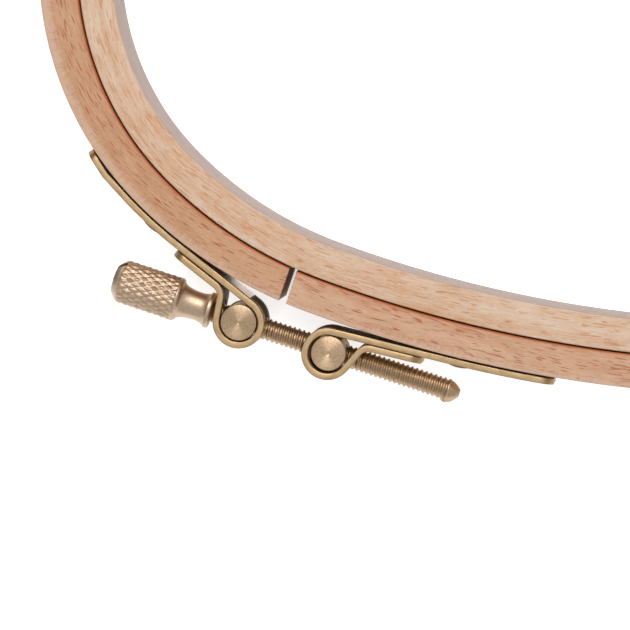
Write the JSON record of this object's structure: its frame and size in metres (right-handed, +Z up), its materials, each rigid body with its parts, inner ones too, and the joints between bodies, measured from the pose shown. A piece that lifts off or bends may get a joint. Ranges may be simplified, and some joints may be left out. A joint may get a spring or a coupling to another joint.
{
  "type": "embroidery hoop",
  "caption": "Oval wooden embroidery hoop: a closed inner ring in a split outer ring, drawn tight by a slotted thumb screw through two barrels in folded brass straps.",
  "frame": {"origin": "centre of the oval, on the plane that the hoop lies on", "axes": "+X along the oval's long axis, +Y across it with the clamp on the -Y side near the -X end, +Z up through the height of the rings"},
  "size_m": [0.3098, 0.1823, 0.016],
  "materials": {
    "inner_beech": "bare planed beech, pale, matte",
    "outer_beech": "bare planed beech, pinkish, matte",
    "strap_brass": "sheet brass, satin, a little tarnished",
    "barrel_brass": "turned brass with fine tool rings",
    "screw_brass": "turned and knurled brass, satin"
  },
  "bodies": {
    "outer_ring": {"outer_ring_screw_side": "outer_beech", "screw_side_strap": "strap_brass", "screw_side_upper_nail": "strap_brass", "screw_side_lower_nail": "strap_brass"},
    "outer_ring_free_end": {"outer_ring_nut_side": "outer_beech", "nut_side_strap": "strap_brass", "nut_side_upper_nail": "strap_brass", "nut_side_lower_nail": "strap_brass"},
    "inner_ring": {"inner_ring": "inner_beech"},
    "screw_barrel": {"screw_barrel": "barrel_brass"},
    "thumb_screw": {"thumb_screw": "screw_brass"},
    "nut_barrel": {"nut_barrel": "barrel_brass"}
  },
  "joints": [
    {"name": "inner_ring_lift", "type": "slide", "parent": "outer_ring", "child": "inner_ring", "axis": [0, 0, 1], "range_m": [0, 0.04]},
    {"name": "outer_ring_flex", "type": "hinge", "parent": "outer_ring", "child": "outer_ring_free_end", "pos_m": [0.04926, 0.08224, 0], "axis": [0, 0, 1], "range_deg": [0, 0.89]},
    {"name": "screw_barrel_swivel", "type": "hinge", "parent": "outer_ring", "child": "screw_barrel", "pos_m": [-0.11258, -0.07551, 0.0093], "axis": [0, 0, 1], "range_deg": [-3.22, 0]},
    {"name": "thumb_screw_turn", "type": "hinge", "parent": "screw_barrel", "child": "thumb_screw", "pos_m": [-0.11258, -0.07551, 0.0093], "axis": [-0.9511, 0.309, 0], "range_deg": [0, 1080]},
    {"name": "nut_barrel_swivel", "type": "hinge", "parent": "outer_ring_free_end", "child": "nut_barrel", "pos_m": [-0.09368, -0.08205, 0.0093], "axis": [0, 0, 1], "range_deg": [-4.11, 0]}
  ],
  "couplings": [
    {"joint": "outer_ring_flex", "follows": "thumb_screw_turn", "ratio": 0.00082242},
    {"joint": "screw_barrel_swivel", "follows": "thumb_screw_turn", "ratio": -0.0029707},
    {"joint": "nut_barrel_swivel", "follows": "thumb_screw_turn", "ratio": -0.0037931}
  ]
}
